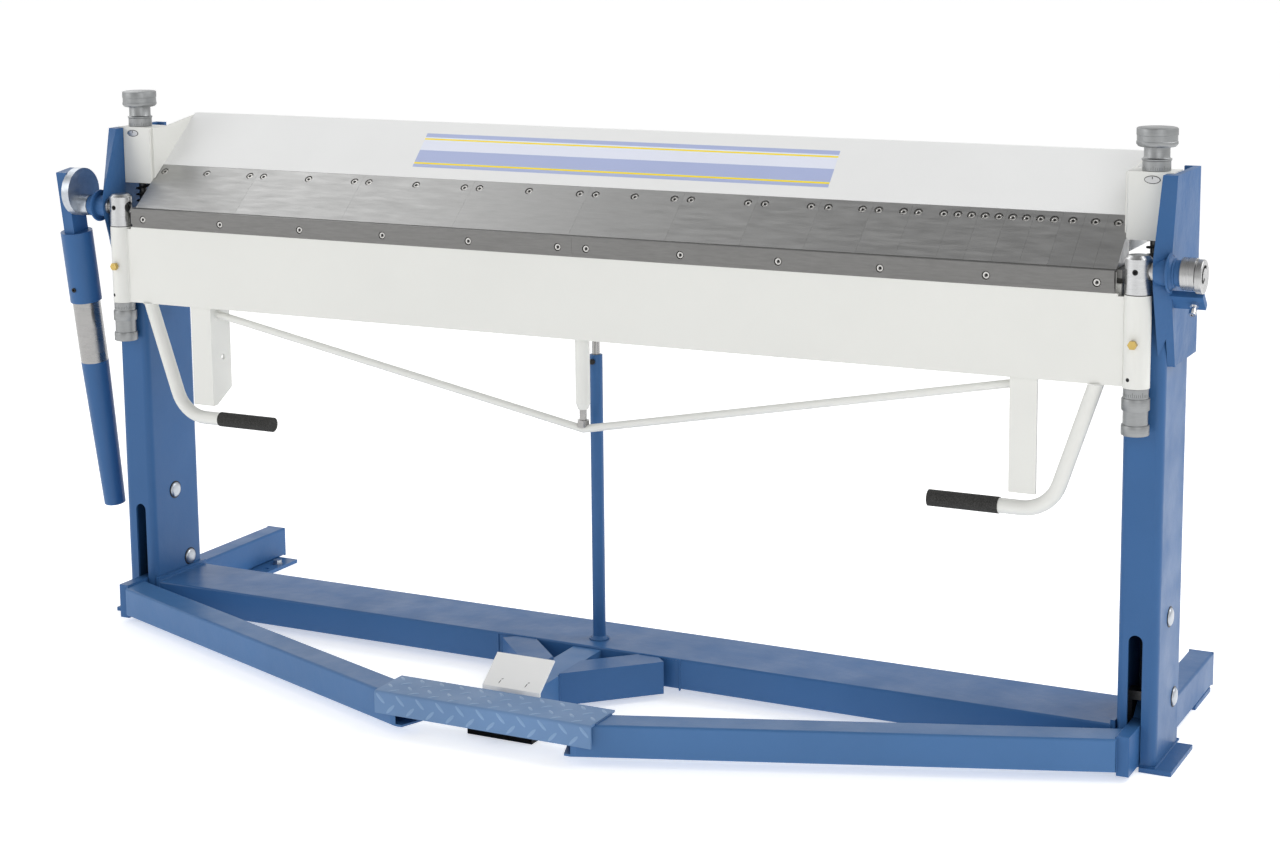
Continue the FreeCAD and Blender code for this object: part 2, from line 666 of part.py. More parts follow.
def build_pedal():
    part("pedal_levers", both(pedal_lever()))
    part("pedal_arms", both(pedal_arm()))
    part("tread_plate", tread())
    part("release_plate", release_plate())


# ---------------------------------------------------------------- folding axis
def pivot_block():
    """Chamfered block that hangs the folding beam on its axis, with a spindle below."""
    points = [("0", "block_bottom - axis_z"), ("block_r", "block_bottom - axis_z"), ("block_r", "21"),
              ("block_r - 6", "27"), ("0", "27")]
    block = turned(points, ("block_x", "axis_y", "axis_z"))
    spindle = cylinder("spindle_r", 185, ("block_x", "axis_y", "block_bottom - 183"))
    bore = cylinder("shaft_r", 50, ("block_x - 25", "axis_y", "axis_z"), ALONG_X)
    thread = cylinder(5, 40, ("block_x", "axis_y", "axis_z"), ALONG_MINUS_Y)
    return cut(fuse(block, spindle), bore, thread)


def block_screw():
    """Socket set screw that locks the block on its shaft."""
    body = cylinder(4.95, 9.5, ("block_x", "axis_y - shaft_r - 0.1", "axis_z"), ALONG_MINUS_Y)
    socket = hexagon(5, 12, ("block_x", "axis_y - shaft_r - 5", "axis_z"), ALONG_MINUS_Y)
    return cut(body, socket)


def pivot_shaft(end):
    """Shaft from the block out through the hub, with a washer between them."""
    shaft = cylinder("shaft_r", end + " - block_x + 18", ("block_x - 18", "axis_y", "axis_z"), ALONG_X)
    washer = cylinder(17, 4.5, ("block_x + block_r + 0.8", "axis_y", "axis_z"), ALONG_X)
    return fuse(shaft, washer)


def build_pivots():
    part("pivot_blocks", both(pivot_block()))
    part("block_set_screws", both(block_screw()))
    part("pivot_shafts", group(pivot_shaft("right_end - 2"), mirror(pivot_shaft("arm_x + arm_t"))))
    ring = cylinder("collar_r", 24, (1142, "axis_y", "axis_z"), ALONG_X)
    cam = cylinder(29, "right_end - 1166", (1166, "axis_y + 4", "axis_z - 4"), ALONG_X)
    bore = cylinder("shaft_r", 60, (1130, "axis_y", "axis_z"), ALONG_X)
    part("stop_collar", cut(fuse(ring, cam), bore))
    disc = cylinder("disc_r", 18, (1163.5, "axis_y", "axis_z + 27"), ALONG_X)
    spacer = cylinder("hub_r", 21, (1142.5, "axis_y", "axis_z"), ALONG_X)
    left_bore = cylinder("shaft_r", 80, (1130, "axis_y", "axis_z"), ALONG_X)
    part("clamp_disc", group(mirror(cut(fuse(disc, spacer), left_bore))))


# ---------------------------------------------------------------- folding beam
BLADE_SCREWS = (30, 224.5, 419, 613, 807, 1001)


def blade_screw_hole(x, radius):
    return cylinder(radius, 40, (x, "fold_back + 5", "blade_screw_z"), ALONG_MINUS_Y)


def folding_beam():
    """Front plate with a thin lip behind the blades and a flange along the bottom."""
    step = "blade_top - blade_rise"
    points = [("fold_front", "fold_bottom"), ("flange_back", "fold_bottom"),
              ("flange_back", "fold_bottom + 8"), ("fold_back", "fold_bottom + 8"),
              ("fold_back", "blade_top - 3.5"), ("lip_front", "blade_top - 3.5"),
              ("lip_front", step), ("fold_front", step)]
    plate = profile(points, "2 * fold_plate_half", ("-fold_plate_half", 0, 0))
    right = [blade_screw_hole(x, "blade_screw_r + run_gap") for x in BLADE_SCREWS]
    left = [blade_screw_hole(-x, "blade_screw_r + run_gap") for x in BLADE_SCREWS]
    ends = [box((10, 20, 60), (x, "fold_front - 5", step)) for x in ("fold_half", "-fold_half - 10")]
    return cut(plate, *(right + left + ends))


def guide_tube():
    """Tube welded to the beam's end; it slides on the pivot block's spindle."""
    low = "fold_bottom - 1.5"
    tube = cylinder("block_r", "block_bottom - 0.5 - fold_bottom + 1.5", ("block_x", "axis_y", low))
    web = box(("block_x - fold_plate_half", "fold_back - fold_front", "836 - fold_bottom"),
              ("fold_plate_half", "fold_front", "fold_bottom"))
    bore = cylinder("spindle_r + run_gap", 300, ("block_x", "axis_y", "fold_bottom - 50"))
    thread = cylinder(4, 60, ("block_x", "axis_y", "clamp_z"), ALONG_MINUS_Y)
    return cut(fuse(tube, web), bore, thread)


def tube_clamp_bolt():
    head_part = hexagon(14, 8, ("block_x", "axis_y - block_r - 2", "clamp_z"), ALONG_MINUS_Y)
    shank = cylinder(3.95, 12, ("block_x", "axis_y - spindle_r - 0.4", "clamp_z"), ALONG_MINUS_Y)
    return fuse(head_part, shank)


def blade():
    """One bending blade: hooked over the beam's lip, with counterbored screw holes."""
    points = [("blade_front", "blade_bottom"), ("blade_front", "blade_top"), ("fold_back", "blade_top"),
              ("fold_back", "blade_top - 3.5"), ("lip_front", "blade_top - 3.5"),
              ("lip_front", "blade_top - blade_rise"), ("-27", "blade_top - blade_rise"),
              ("-27", "blade_bottom")]
    body = profile(points, "fold_half - 0.1", ("0.1", 0, 0))
    shanks = [blade_screw_hole(x, "blade_screw_r + 0.3") for x in BLADE_SCREWS]
    bores = [cylinder(7.5, 12, (x, "blade_front + 6.5", "blade_screw_z"), ALONG_MINUS_Y)
             for x in BLADE_SCREWS]
    return cut(body, *(shanks + bores))


def blade_screw(x):
    cap = cylinder(6.6, 6, (x, "blade_front + 6.5", "blade_screw_z"), ALONG_MINUS_Y)
    shank = cylinder("blade_screw_r", "fold_back - blade_front - 7", (x, "fold_back - 0.5", "blade_screw_z"),
                     ALONG_MINUS_Y)
    socket = hexagon(5, 12, (x, "blade_front + 3.5", "blade_screw_z"), ALONG_MINUS_Y)
    return cut(fuse(cap, shank), socket)


def bracket():
    """Angle bracket under the beam that takes the truss rod's end."""
    face = box(("bracket_w", 6, "fold_bottom - 478"), ("bracket_in", -18, 478))
    points = [("-18", "478"), ("-5", "478"), ("46", "508"), ("46", "fold_bottom"), ("-18", "fold_bottom")]
    web = profile(points, 6, ("bracket_in", 0, 0))
    hole = cylinder(6, 40, ("bracket_in - 10", 20, 575), ALONG_X)
    return cut(fuse(face, web), hole)


def size(alias):
    """The present value of one of the sheet's cells."""
    return float(sheet.get(alias))


def handle():
    """Bent tube: down from the beam, one bend, then level towards the middle."""
    bend = size("handle_bend")
    y = size("axis_y")
    top = Vector(size("handle_top_x"), y, size("fold_bottom"))
    corner = Vector(top.x - (top.z - size("handle_z")) / 3, y, size("handle_z"))
    inner_end = Vector(size("grip_in") + 4, y, size("handle_z"))
    rise = (top - corner).normalize()
    start = top + rise * 12
    level = Vector(-1, 0, 0)
    half_turn = (math.pi - rise.getAngle(level)) / 2
    setback = bend * math.tan(half_turn)
    arc_start = corner + rise * setback
    arc_end = corner + level * setback
    inward = (rise + level).normalize()
    arc_middle = corner + inward * (bend / math.cos(half_turn) - bend)
    path = Part.Wire([Part.LineSegment(start, arc_start).toShape(),
                      Part.Arc(arc_start, arc_middle, arc_end).toShape(),
                      Part.LineSegment(arc_end, inner_end).toShape()])
    section = Part.Wire([Part.Circle(start, rise, size("handle_r")).toShape()])
    tube = doc.addObject("Part::Feature", "handle")
    tube.Shape = path.makePipeShell([section], True, True)
    tube.Placement = Placement()
    above = box((400, 100, 40), (800, -80, "fold_bottom"))
    return cut(tube, above)


def grip():
    """Foam grip pushed over the handle's free end."""
    sleeve = cylinder("grip_r", "grip_len", ("grip_in", "axis_y", "handle_z"), ALONG_X)
    bore = cylinder("handle_r", 200, ("grip_in + 4", "axis_y", "handle_z"), ALONG_X)
    return cut(sleeve, bore)


def truss():
    """Tie rod below the beam, kept in tension by a strut and a jack screw."""
    middle = (0.0, S["truss_y"], S["truss_z"])
    half = rod(middle, (S["bracket_in"] - 1, S["truss_y"], 666.0), "truss_r")
    knee = doc.addObject("Part::Sphere", "knee")
    bind(knee, "Radius", "truss_r")
    place(knee, middle)
    part("truss_rod", fuse(half, mirror(half), knee))
    tube = cylinder(14, "fold_bottom - 556", (0, "truss_y", 556))
    thread = cylinder(7, 60, (0, "truss_y", 540))
    part("truss_strut", cut(fuse(tube, cone(10, 14, 12, (0, "truss_y", 544))), thread))
    screw = cylinder(7, 50, (0, "truss_y", 520))
    nut = hexagon(22, 13, (0, "truss_y", "truss_z + 5"))
    saddle = fuse(cylinder("truss_r", 60, (-30, "truss_y", "truss_z"), ALONG_X), half, mirror(half), knee)
    part("jack_screw", cut(fuse(screw, nut), saddle))


def lower_knob():
    """Scale ring and knurled ring that set the beam's height on its spindle."""
    points = [("spindle_r + run_gap", "81"), ("23", "81"), ("23", "65"), ("24", "64"), ("24", "48"),
              ("22", "46"), ("22", "28"), ("24", "26"), ("24", "3"), ("22", "0"), ("0", "0"),
              ("0", "50"), ("spindle_r + run_gap", "50")]
    return turned(points, ("block_x", "axis_y", "fold_bottom - 83"))


def build_folding_beam():
    part("folding_beam", folding_beam())
    part("guide_tubes", both(guide_tube()))
    part("tube_clamp_bolts", both(tube_clamp_bolt()))
    part("bending_blades", both(blade()))
    part("blade_screws", group(*[both(blade_screw(x)) for x in BLADE_SCREWS]))
    part("truss_brackets", both(bracket()))
    truss()
    part("handles", both(handle()))
    part("handle_grips", both(grip()))
    knob = lower_knob()
    part("lower_knob_right", group(knob))
    part("lower_knob_left", group(mirror(knob)))


# ---------------------------------------------------------------- counterweight
ARM_TURN = Rotation(Vector(1, 0, 0), 180 + S["arm_lean"])
ARM_MIDDLE = -S["arm_x"] - S["arm_t"] / 2


def arm_point(x, y, z):
    """A point given across, in front of and along the leaning arm, from the folding axis."""
    spot = ARM_TURN.multVec(Vector(x, y, z))
    return (ARM_MIDDLE + spot.x, "axis_y + %.4f" % spot.y, "axis_z + %.4f" % spot.z)


def build_counterweight():
    """Arm clamped on the shaft, and a weight that slides in the arm's sleeve."""
    arm = box(("arm_t", "arm_d", "arm_up + sleeve_from"),
              arm_point(-S["arm_t"] / 2, -S["arm_d"] / 2, -S["arm_up"]), ARM_TURN)
    shaft_bore = cylinder("shaft_r", 60, (ARM_MIDDLE - 30, "axis_y", "axis_z"), ALONG_X)
    sleeve = cylinder("sleeve_r", 152, arm_point(0, 0, S["sleeve_from"]), ARM_TURN)
    bore = cylinder("weight_r + run_gap", 200, arm_point(0, 0, S["sleeve_from"] + 8), ARM_TURN)
    forward = Rotation(Vector(1, 0, 0), 90 + S["arm_lean"])
    screw_hole = cylinder(5, 40, arm_point(0, 10, 180), forward)
    part("counterweight_arm", cut(fuse(arm, sleeve), shaft_bore, bore, screw_hole))
    screw = cylinder(4.95, 6, arm_point(0, S["weight_r"] + 0.1, 180), forward)
    socket = hexagon(5, 10, arm_point(0, S["weight_r"] + 3, 180), forward)
    part("weight_set_screw", cut(screw, socket))
    part("weight_bar", cylinder("weight_r", 195, arm_point(0, 0, 150), ARM_TURN))
    part("weight_taper", cone("weight_r", "weight_tip_r", 325, arm_point(0, 0, 345), ARM_TURN))


# ---------------------------------------------------------------- build, check, write
def check_and_write():
    """Refuses a broken model, then writes one STEP file for each sub-part."""
    doc.recompute()
    for obj in doc.Objects:
        if "Invalid" in obj.State or "Error" in obj.State:
            raise RuntimeError("%s (%s) did not build: %s" % (obj.Name, obj.Label, obj.State))
    os.makedirs("parts", exist_ok=True)
    for obj in PARTS:
        if obj.Shape.isNull() or not obj.Shape.isValid():
            raise RuntimeError("bad shape: " + obj.Label)
        obj.Shape.exportStep("parts/%s.step" % obj.Label)
    print("%d sub-parts written" % len(PARTS))


build_stand()
build_upper()
build_pedal()
build_pivots()
build_folding_beam()
build_counterweight()
check_and_write()
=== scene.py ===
import math
import random

import bpy
from mathutils import Matrix, Vector


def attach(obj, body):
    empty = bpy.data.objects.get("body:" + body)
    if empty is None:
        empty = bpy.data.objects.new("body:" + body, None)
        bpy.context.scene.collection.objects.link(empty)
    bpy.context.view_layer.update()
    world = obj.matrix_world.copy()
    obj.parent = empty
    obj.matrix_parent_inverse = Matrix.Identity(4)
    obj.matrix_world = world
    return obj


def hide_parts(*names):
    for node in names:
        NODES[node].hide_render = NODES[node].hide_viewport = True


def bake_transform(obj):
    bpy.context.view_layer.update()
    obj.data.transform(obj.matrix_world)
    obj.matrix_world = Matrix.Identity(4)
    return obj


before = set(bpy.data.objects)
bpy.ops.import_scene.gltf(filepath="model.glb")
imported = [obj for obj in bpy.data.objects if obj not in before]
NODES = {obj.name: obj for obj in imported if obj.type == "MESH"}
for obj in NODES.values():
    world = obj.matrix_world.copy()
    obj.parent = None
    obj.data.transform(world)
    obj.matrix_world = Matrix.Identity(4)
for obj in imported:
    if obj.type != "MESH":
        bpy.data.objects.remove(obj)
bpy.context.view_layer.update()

# The machine is drawn from its mid plane; the row frame's origin is under the middle of its box
SHIFT = Vector((0.025, -0.048, 0.0))

# Machine sizes in millimetres
COLUMN_IN, COLUMN_OUT = 1038, 1110  # a column's two sides
COLUMN_FRONT, COLUMN_BACK, COLUMN_TOP = 10, 172, 828
COLUMN_PINS = ((128, 101), (86, 258.5))
PLATE_TOP = 8                       # foot plates
AXIS_Y, AXIS_Z = -16, 880           # folding axis
TOP_KNOB_X, TOP_KNOB_Y = 1073, 65   # pull rods, lift springs and top knobs
TOP_KNOB_FOOT = 1040.3
LOWER_KNOB_X, LOWER_KNOB_FOOT = 1068, 600
SPRING_FOOT, SPRING_HEAD = 834, 923.5
BEAM_FOOT = 682.5                   # welds under the folding beam
HALF_LENGTH = 1030.0                # of the finger row
FINGER_TOP = Vector((0, 77, 959.5))
FINGER_RISE = Vector((0, 92.5, 79.5)).normalized()
FINGER_WIDTHS = (250, 255, 255, 255, 200, 150, 125, 100, 75, 75, 50, 50, 50, 50, 40, 40, 40)
BLADE_SCREWS = (30, 224.5, 419, 613, 807, 1001)
BLADE_BORE_Y, BLADE_SCREW_Z = -24.5, 858
POINTER_Z = 1027
BEAD_STEP = 1.6

EDGE_RADIUS = 0.0008                # in metres, as the modifier wants it
EDGE_ANGLE, SMOOTH_ANGLE = math.radians(35), math.radians(38)


def at(x, y, z):
    """A point of the machine, in millimetres from its mid plane, in the row frame."""
    return Vector((x, y, z)) / 1000 + SHIFT


# ---------------------------------------------------------------- materials
class Nodes:
    """Short names for the nodes of one material."""

    def __init__(self, name):
        self.material = bpy.data.materials.new(name)
        self.material.use_nodes = True
        self.tree = self.material.node_tree
        self.shader = self.tree.nodes["Principled BSDF"]

    def add(self, kind, **sockets):
        node = self.tree.nodes.new("ShaderNode" + kind)
        for key, value in sockets.items():
            node.inputs[key.replace("_", " ")].default_value = value
        return node

    def link(self, source, target):
        self.tree.links.new(source, target)

    def position(self, scale):
        coordinates = self.add("TexCoord")
        mapping = self.add("Mapping", Scale=scale)
        self.link(coordinates.outputs["Object"], mapping.inputs["Vector"])
        return mapping.outputs["Vector"]

    def noise(self, scale, detail=3.0, stretch=(1, 1, 1), rough=0.5):
        node = self.add("TexNoise", Scale=scale, Detail=detail, Roughness=rough)
        self.link(self.position(stretch), node.inputs["Vector"])
        return node.outputs["Fac"]

    def blend(self, factor, low, high, first, second):
        ramp = self.add("MapRange", From_Min=low, From_Max=high)
        self.link(factor, ramp.inputs["Value"])
        mix = self.tree.nodes.new("ShaderNodeMix")
        mix.data_type = "RGBA"
        self.link(ramp.outputs["Result"], mix.inputs["Factor"])
        mix.inputs[6].default_value = (*first, 1)
        mix.inputs[7].default_value = (*second, 1)
        return mix.outputs[2]

    def rough(self, factor, low, high):
        ramp = self.add("MapRange", From_Min=0.3, From_Max=0.7, To_Min=low, To_Max=high)
        self.link(factor, ramp.inputs["Value"])
        self.link(ramp.outputs["Result"], self.shader.inputs["Roughness"])

    def bump(self, height, strength, distance, previous=None):
        node = self.add("Bump", Strength=strength, Distance=distance)
        self.link(height, node.inputs["Height"])
        if previous is not None:
            self.link(previous, node.inputs["Normal"])
        self.link(node.outputs["Normal"], self.shader.inputs["Normal"])
        return node.outputs["Normal"]


def paint(name, colour, roughness=0.38, mottled=0.06, rough_cast=0.0, gloss=0.5):
    """Enamel: slight drift in colour and gloss, orange peel, and a coarse bump on castings."""
    n = Nodes(name)
    dark = [c * (1 - mottled) for c in colour]
    light = [min(1, c * (1 + mottled)) for c in colour]
    n.link(n.blend(n.noise(3.2, 4), 0.3, 0.7, dark, light), n.shader.inputs["Base Color"])
    n.rough(n.noise(14, 3), roughness - 0.05, roughness + 0.09)
    n.shader.inputs["Specular IOR Level"].default_value = gloss
    peel = n.bump(n.noise(420, 2), 0.22, 0.0006)
    if rough_cast:
        n.bump(n.noise(55, 4), rough_cast, 0.004, peel)
    return n.material


def metal(name, colour, roughness, stretch=(1, 1, 1), scale=60, drift=0.12, metallic=1.0, bump=0.15):
    """Machined metal: tool marks stretched along one direction, which vary its colour a little."""
    n = Nodes(name)
    dark = [c * (1 - drift) for c in colour]
    light = [min(1, c * (1 + drift)) for c in colour]
    marks = n.noise(scale, 5, stretch, 0.65)
    n.link(n.blend(marks, 0.3, 0.7, dark, light), n.shader.inputs["Base Color"])
    n.shader.inputs["Metallic"].default_value = metallic
    n.rough(n.noise(scale * 0.6, 4, stretch), roughness - 0.06, roughness + 0.1)
    n.bump(marks, bump, 0.0004)
    return n.material


BLUE = paint("blue_enamel", (0.034, 0.112, 0.275), 0.36, 0.07, 0.10, 0.26)
BLUE_CAST = paint("blue_rough_cast", (0.033, 0.108, 0.265), 0.42, 0.09, 0.35, 0.26)
WHITE = paint("white_enamel", (0.72, 0.722, 0.69), 0.4, 0.02)
BEAM_WHITE = paint("beam_white_enamel", (0.83, 0.835, 0.83), 0.38, 0.015)
FINGER = metal("ground_tool_steel", (0.46, 0.46, 0.455), 0.36, (1, 7, 7), 30, 0.05, 0.97, 0.04)
FINGER_2 = metal("ground_tool_steel_light", (0.475, 0.475, 0.47), 0.34, (1, 7, 7), 27, 0.05, 0.97, 0.04)
BLADE = metal("dark_ground_steel", (0.205, 0.203, 0.198), 0.40, (1, 8, 8), 36, 0.08, 0.93, 0.05)
BRIGHT = metal("turned_steel", (0.34, 0.335, 0.33), 0.24, (1, 1, 5), 22, 0.06, 1.0, 0.03)
SHAFT = metal("turned_shaft_steel", (0.46, 0.46, 0.46), 0.27, (30, 1, 1), 40, 0.12)
ZINC = metal("zinc_plate", (0.47, 0.50, 0.54), 0.34, (1, 1, 1), 90, 0.1)
ALU = metal("turned_aluminium", (0.56, 0.565, 0.57), 0.3, (1, 1, 60), 30, 0.1)
KNOB = metal("matte_aluminium", (0.31, 0.318, 0.322), 0.40, (1, 1, 40), 40, 0.08)
OILED = metal("oiled_steel", (0.09, 0.09, 0.09), 0.35, (1, 1, 12), 60, 0.3, 0.9)
# Painted highlight: the chequer plate's tear-drops get a lighter blue that stands for light on their tops
HIGHLIGHT_BLUE = paint("painted_highlight_blue_enamel", (0.19, 0.31, 0.50), 0.30, 0.12, 0.0, 0.4)
LOW_BLUE = paint("blue_enamel_low", (0.052, 0.145, 0.325), 0.36, 0.07, 0.10, 0.3)
# The tread's blue is lighter than the stand's: partly scuffing, partly painted light on its upward face
TREAD_BLUE = paint("scuffed_blue_enamel_with_painted_light", (0.13, 0.235, 0.42), 0.38, 0.12, 0.15, 0.3)
CAP = metal("socket_cap_steel", (0.62, 0.61, 0.59), 0.28, (1, 1, 1), 200, 0.1)
CHROME = metal("chrome_plate", (0.75, 0.75, 0.76), 0.12, (1, 1, 1), 40, 0.04)
BRASS = metal("machined_brass", (0.58, 0.42, 0.14), 0.3, (1, 1, 1), 80, 0.1)
BLACK = metal("black_oxide_steel", (0.02, 0.02, 0.021), 0.4, (1, 1, 1), 120, 0.3, 0.6)
# Painted shade: near-black paint that stands for the shade on the front bar's foot
SHADE_BLACK = paint("painted_shade_black", (0.006, 0.006, 0.007), 0.8, 0.2)
YELLOW = paint("yellow_stripe", (0.95, 0.78, 0.04), 0.35, 0.02)
STRIPE = paint("blue_stripe", (0.42, 0.48, 0.72), 0.35, 0.02)
STRIPE_PALE = paint("pale_stripe", (0.78, 0.81, 0.92), 0.35, 0.02)
FOAM = Nodes("foam_grip")
FOAM.link(FOAM.blend(FOAM.noise(500, 4), 0.35, 0.65, (0.016, 0.016, 0.015), (0.045, 0.044, 0.042)),
          FOAM.shader.inputs["Base Color"])
FOAM.shader.inputs["Roughness"].default_value = 0.92
FOAM.bump(FOAM.noise(700, 3), 0.6, 0.001)
FOAM = FOAM.material

# The CAD nodes that each material is for
LOOKS = {
    BLUE: ("columns", "foot_plates", "rear_legs", "column_caps", "floor_stretcher", "prop_tube",
           "pedal_levers", "tread_plate", "weight_taper", "counterweight_arm"),
    LOW_BLUE: ("front_bar", "pedal_arms"),
    BLUE_CAST: ("head_right", "head_left"),
    WHITE: ("lower_beam", "folding_beam", "guide_tubes", "truss_brackets", "truss_strut", "truss_rod",
            "handles", "end_guides"),
    BEAM_WHITE: ("upper_beam",),
    BLADE: ("lower_blade", "bending_blades"),
    SHAFT: ("pivot_shafts", "stop_collar"),
    BRIGHT: ("weight_bar", "prop_rod", "jack_screw"),
    OILED: ("pull_rods", "rod_guides"),
    ZINC: ("clamp_disc", "column_pins", "levelling_bolts", "release_bracket"),
    BLACK: ("block_set_screws", "weight_set_screw", "prop_clamp_bolt", "lift_springs"),
    ALU: ("pivot_blocks", "top_knob_left", "top_knob_right", "lower_knob_left", "lower_knob_right"),
    CHROME: ("stop_screw_and_nut", "finger_screws", "blade_screws"),
    BRASS: ("tube_clamp_bolts",),
    FOAM: ("handle_grips",),
    FINGER: ("fingers_250_mm", "fingers_200_mm", "fingers_125_mm", "fingers_75_mm", "fingers_50_mm"),
    FINGER_2: ("fingers_255_mm", "fingers_150_mm", "fingers_100_mm", "fingers_40_mm"),
    paint("release_plate_paint", (0.86, 0.86, 0.85), 0.42, 0.03): ("release_plate",),
}
# Edge radii that differ from the usual one, in metres
EDGES = {"counterweight_arm": 0.003, "columns": 0.0, "truss_rod": 0.0, "prop_rod": 0.0, "weight_bar": 0.0,
         "handles": 0.0}


def dress_nodes():
    """Gives every CAD node its material and a small edge radius."""
    for material, names in LOOKS.items():
        for name in names:
            node = NODES[name]
            node.data.materials.clear()
            node.data.materials.append(material)
            width = EDGES.get(name, EDGE_RADIUS)
            if width:
                bevel = node.modifiers.new("edge", "BEVEL")
                bevel.width = width
                bevel.segments = 2
                bevel.limit_method = "ANGLE"
                bevel.angle_limit = EDGE_ANGLE
                bevel.harden_normals = True


dress_nodes()


# ---------------------------------------------------------------- floor, light, camera
FLOOR_CORNERS = [(-90, -30, 0), (90, -30, 0), (90, 190, 0), (-90, 190, 0)]
FLOOR_GLOW = 0.5
# Sky strength: direction, where it is dark and where it is bright along it, and the strength at both
SKY = (("Z", 0.97, 0.4, 0.26, 1.0), ("Y", -0.7, 0.2, 0.72, 1.0), ("X", 0.4, -0.5, 0.8, 1.1))
# Softboxes: place and size in metres, power in watts
LAMPS = (((-4.6, -3.8, 2.8), 3.2, 56), ((3.4, -3.6, 2.6), 2.6, 32),
         ((-3.4, 1.2, 4.0), 3.2, 36), ((3.2, 1.5, 4.2), 3.2, 110))
LAMP_AIM = Vector((0, 0, 0.6))


def floor_plane():
    """Wide pale floor with a weak glow, so that the ground is nearly white."""
    mesh = bpy.data.meshes.new("floor")
    mesh.from_pydata(FLOOR_CORNERS, [], [(0, 1, 2, 3)])
    floor = bpy.data.objects.new("floor", mesh)
    bpy.context.scene.collection.objects.link(floor)
    look = Nodes("pale_floor")
    look.link(look.blend(look.noise(2, 3), 0.3, 0.7, (0.90, 0.90, 0.90), (0.93, 0.93, 0.93)),
              look.shader.inputs["Base Color"])
    look.shader.inputs["Roughness"].default_value = 0.9
    look.shader.inputs["Emission Color"].default_value = (1, 1, 1, 1)
    look.shader.inputs["Emission Strength"].default_value = FLOOR_GLOW
    mesh.materials.append(look.material)


def sky():
    """White surroundings, darker overhead, in front and to the right."""
    world = bpy.data.worlds.new("studio")
    bpy.context.scene.world = world
    world.use_nodes = True
    tree = world.node_tree
    background = tree.nodes["Background"]
    background.inputs["Color"].default_value = (1, 1, 1, 1)
    split = tree.nodes.new("ShaderNodeSeparateXYZ")
    tree.links.new(tree.nodes.new("ShaderNodeTexCoord").outputs["Generated"], split.inputs[0])
    total = None
    for output, low, high, dark, bright in SKY:
        ramp = tree.nodes.new("ShaderNodeMapRange")
        limits = (("From Min", low), ("From Max", high), ("To Min", dark), ("To Max", bright))
        for key, value in limits:
            ramp.inputs[key].default_value = value
        tree.links.new(split.outputs[output], ramp.inputs["Value"])
        if total is None:
            total = ramp.outputs["Result"]
            continue
        both = tree.nodes.new("ShaderNodeMath")
        both.operation = "MULTIPLY"
        tree.links.new(total, both.inputs[0])
        tree.links.new(ramp.outputs["Result"], both.inputs[1])
        total = both.outputs["Value"]
    tree.links.new(total, background.inputs["Strength"])


def lamps():
    """Square softboxes round the machine."""
    for i, (spot, size, power) in enumerate(LAMPS):
        lamp = bpy.data.lights.new("softbox_%d" % i, "AREA")
        lamp.shape = "SQUARE"
        lamp.size = size
        lamp.energy = power
        obj = bpy.data.objects.new(lamp.name, lamp)
        obj.location = spot
        obj.rotation_euler = (LAMP_AIM - Vector(spot)).to_track_quat("-Z", "Y").to_euler()
        bpy.context.scene.collection.objects.link(obj)


CAMERA_TURN = (26.877, 9.019, -0.538)             # yaw, pitch and roll in degrees
CAMERA_SPOT = (2097.891, -3888.831, 1507.378)     # machine millimetres
CAMERA_LENS, CAMERA_SHIFT = 66.917, -0.12


def camera():
    """Camera in front and to the right, looking a little down, with some lens shift for the framing."""
    yaw, pitch, roll = (math.radians(turn) for turn in CAMERA_TURN)
    back = Vector((math.sin(yaw) * math.cos(pitch), -math.cos(yaw) * math.cos(pitch), math.sin(pitch)))
    level = Vector((math.cos(yaw), math.sin(yaw), 0))
    upright = back.cross(level)
    right = level * math.cos(roll) + upright * math.sin(roll)
    up = upright * math.cos(roll) - level * math.sin(roll)
    data = bpy.data.cameras.new("camera")
    data.sensor_width = 36
    data.lens = CAMERA_LENS
    data.shift_y = CAMERA_SHIFT
    data.clip_end = 60
    obj = bpy.data.objects.new("camera", data)
    spot = at(*CAMERA_SPOT)
    obj.matrix_world = Matrix(((right.x, up.x, back.x, spot.x), (right.y, up.y, back.y, spot.y),
                               (right.z, up.z, back.z, spot.z), (0, 0, 0, 1)))
    bpy.context.scene.collection.objects.link(obj)
    bpy.context.scene.camera = obj


floor_plane()
sky()
bpy.context.scene.view_settings.view_transform = "Standard"
lamps()
camera()


# ---------------------------------------------------------------- mesh helpers
def make(name, verts, faces, material, body, replaced=(), smooth=True):
    """A mesh piece from points in machine millimetres; it rides on a CAD body."""
    mesh = bpy.data.meshes.new(name)
    mesh.from_pydata([at(*v) for v in verts], [], faces)
    mesh.validate()
    mesh.materials.append(material)
    if smooth:
        mesh.polygons.foreach_set("use_smooth", [True] * len(mesh.polygons))
        mesh.set_sharp_from_angle(angle=SMOOTH_ANGLE)
    obj = bpy.data.objects.new(name, mesh)
    bpy.context.scene.collection.objects.link(obj)
    if body:
        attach(obj, body)
    if replaced:
        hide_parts(*replaced)
    return obj


